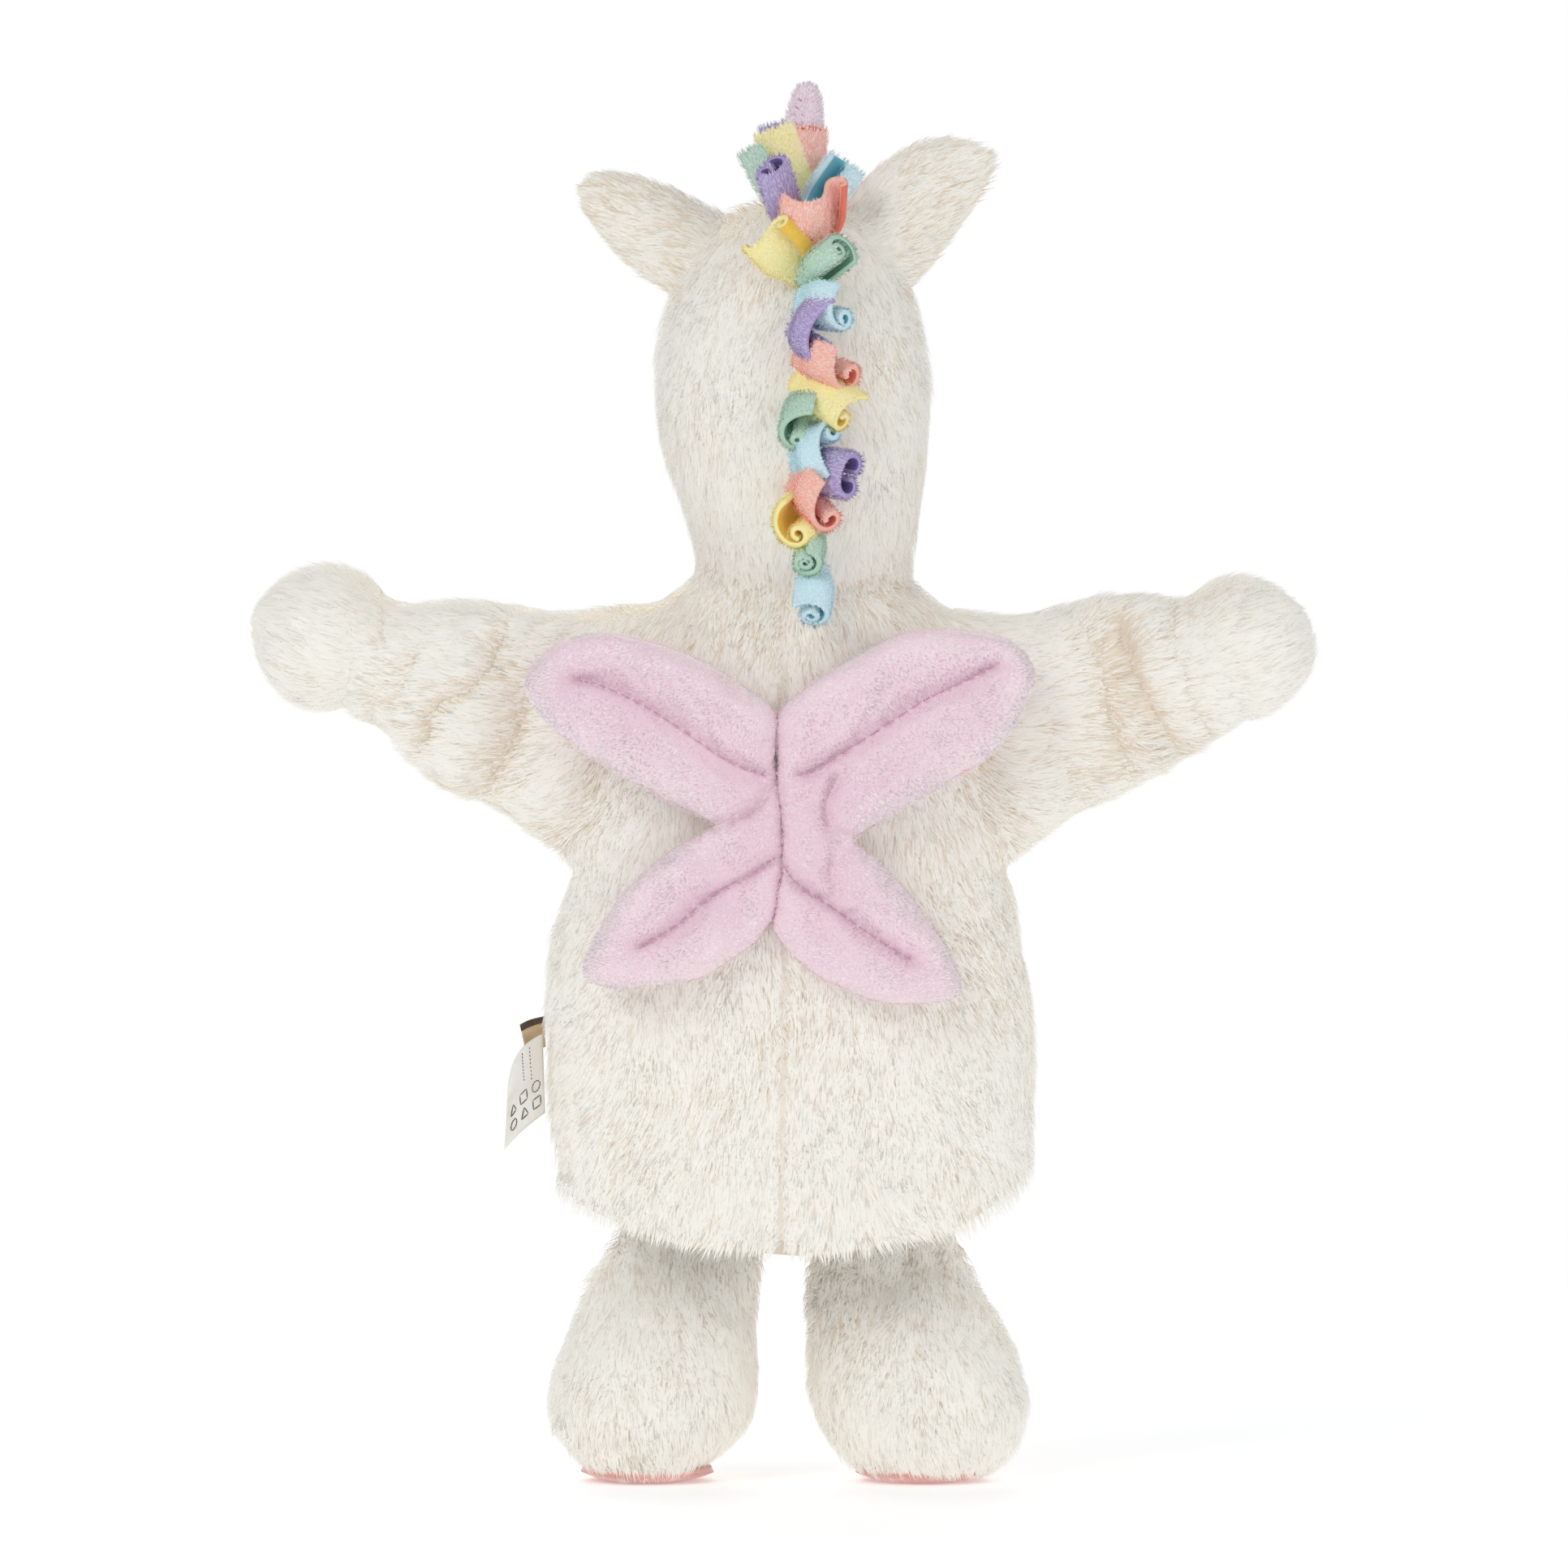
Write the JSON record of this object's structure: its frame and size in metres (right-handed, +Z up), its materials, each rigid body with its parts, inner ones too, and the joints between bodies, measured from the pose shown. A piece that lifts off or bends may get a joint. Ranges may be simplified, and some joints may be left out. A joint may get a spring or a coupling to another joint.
{
  "type": "plush unicorn glove puppet",
  "caption": "Plush unicorn glove puppet with spread arms, stuffed hooves and legs, quilted butterfly wings, soft horn and a mane of rolled pastel strips.",
  "frame": {"origin": "centre of the hand opening, level with the lowest point of the hem", "axes": "+Z up through the head, +Y out of the puppet's back, +X to the puppet's own left"},
  "size_m": [0.2618, 0.1009, 0.3489],
  "materials": {
    "cream_fur": "faux fur, pile about 6 mm",
    "lining": "plain weave",
    "binding": "plain weave",
    "brand_tab": "woven tape",
    "care_label": "printed satin tape",
    "pink_velour": "short-pile velour",
    "sole_velour": "short-pile velour",
    "polyester_fill": "loose fibre",
    "embroidery": "satin thread",
    "eye": "glossy",
    "mane_purple": "minky plush",
    "mane_coral": "minky plush",
    "mane_yellow": "minky plush",
    "mane_green": "minky plush",
    "mane_blue": "minky plush"
  },
  "bodies": {
    "torso": {"back_panel_left": "cream_fur", "back_panel_right": "cream_fur", "front_panel": "cream_fur", "hand_lining": "lining", "hem_binding": "binding", "brand_tab": "brand_tab"},
    "head": {"head_back_left": "cream_fur", "head_back_right": "cream_fur", "face_panel": "cream_fur", "muzzle": "pink_velour", "head_stuffing": "polyester_fill", "finger_tube": "lining", "horn_cover": "pink_velour", "horn_stuffing": "polyester_fill", "left_eye": "eye", "right_eye": "eye", "face_embroidery": "embroidery", "mane_curl_01": "mane_purple", "mane_curl_02": "mane_coral", "mane_curl_03": "mane_yellow", "mane_curl_04": "mane_green", "mane_curl_05": "mane_blue", "mane_curl_06": "mane_purple", "mane_curl_07": "mane_coral", "mane_curl_08": "mane_yellow", "mane_curl_09": "mane_green", "mane_curl_10": "mane_blue", "mane_curl_11": "mane_purple", "mane_curl_12": "mane_coral", "mane_curl_13": "mane_yellow", "mane_curl_14": "mane_green", "mane_curl_15": "mane_blue", "mane_curl_16": "mane_purple", "mane_curl_17": "mane_coral", "mane_curl_18": "mane_yellow", "mane_curl_19": "mane_green", "mane_curl_20": "mane_blue"},
    "label": {"care_label": "care_label"},
    "left_ear": {"left_ear_back": "cream_fur", "left_ear_inner": "pink_velour"},
    "left_arm": {"left_arm_sleeve": "cream_fur", "left_hoof_cover": "cream_fur", "left_hoof_stuffing": "polyester_fill"},
    "left_leg": {"left_leg_cover": "cream_fur", "left_leg_sole": "sole_velour", "left_leg_stuffing": "polyester_fill"},
    "left_wing": {"left_wing_back": "pink_velour", "left_wing_front": "pink_velour", "left_wing_padding": "polyester_fill"},
    "right_ear": {"right_ear_back": "cream_fur", "right_ear_inner": "pink_velour"},
    "right_arm": {"right_arm_sleeve": "cream_fur", "right_hoof_cover": "cream_fur", "right_hoof_stuffing": "polyester_fill"},
    "right_leg": {"right_leg_cover": "cream_fur", "right_leg_sole": "sole_velour", "right_leg_stuffing": "polyester_fill"},
    "right_wing": {"right_wing_back": "pink_velour", "right_wing_front": "pink_velour", "right_wing_padding": "polyester_fill"}
  },
  "joints": [
    {"name": "head_nod", "type": "hinge", "parent": "torso", "child": "head", "pos_m": [-0.002, 0.004, 0.165], "axis": [1, 0, 0], "range_deg": [-18, 28], "stiffness_Nm_per_rad": 0.08},
    {"name": "care_label_flip", "type": "hinge", "parent": "torso", "child": "label", "pos_m": [0.0603, 0, 0.03486], "axis": [0, 0, 1], "range_deg": [-4, 60], "stiffness_Nm_per_rad": 0.0005},
    {"name": "left_arm_clap", "type": "hinge", "parent": "torso", "child": "left_arm", "pos_m": [0.05, 0, 0.128], "axis": [0, 0, -1], "range_deg": [-10, 80], "stiffness_Nm_per_rad": 0.02},
    {"name": "left_leg_swing", "type": "hinge", "parent": "torso", "child": "left_leg", "pos_m": [0.026, -0.019, -0.0055], "axis": [-1, 0, 0], "range_deg": [-40, 85], "stiffness_Nm_per_rad": 0.02},
    {"name": "left_wing_flap", "type": "hinge", "parent": "torso", "child": "left_wing", "pos_m": [0.002, 0.0346, 0.105], "axis": [0, 0, 1], "range_deg": [-4, 60], "stiffness_Nm_per_rad": 0.01},
    {"name": "right_arm_clap", "type": "hinge", "parent": "torso", "child": "right_arm", "pos_m": [-0.05, 0, 0.128], "axis": [0, 0, 1], "range_deg": [-10, 80], "stiffness_Nm_per_rad": 0.02},
    {"name": "right_leg_swing", "type": "hinge", "parent": "torso", "child": "right_leg", "pos_m": [-0.026, -0.019, -0.0055], "axis": [-1, 0, 0], "range_deg": [-40, 85], "stiffness_Nm_per_rad": 0.02},
    {"name": "right_wing_flap", "type": "hinge", "parent": "torso", "child": "right_wing", "pos_m": [-0.002, 0.0346, 0.105], "axis": [0, 0, -1], "range_deg": [-4, 60], "stiffness_Nm_per_rad": 0.01},
    {"name": "left_ear_flop", "type": "hinge", "parent": "head", "child": "left_ear", "pos_m": [0.02205, -0.0003, 0.24733], "axis": [-0.515, 0, 0.8572], "range_deg": [-20, 20], "stiffness_Nm_per_rad": 0.004},
    {"name": "right_ear_flop", "type": "hinge", "parent": "head", "child": "right_ear", "pos_m": [-0.02248, -0.0003, 0.24938], "axis": [0.682, 0, 0.7314], "range_deg": [-20, 20], "stiffness_Nm_per_rad": 0.004}
  ]
}
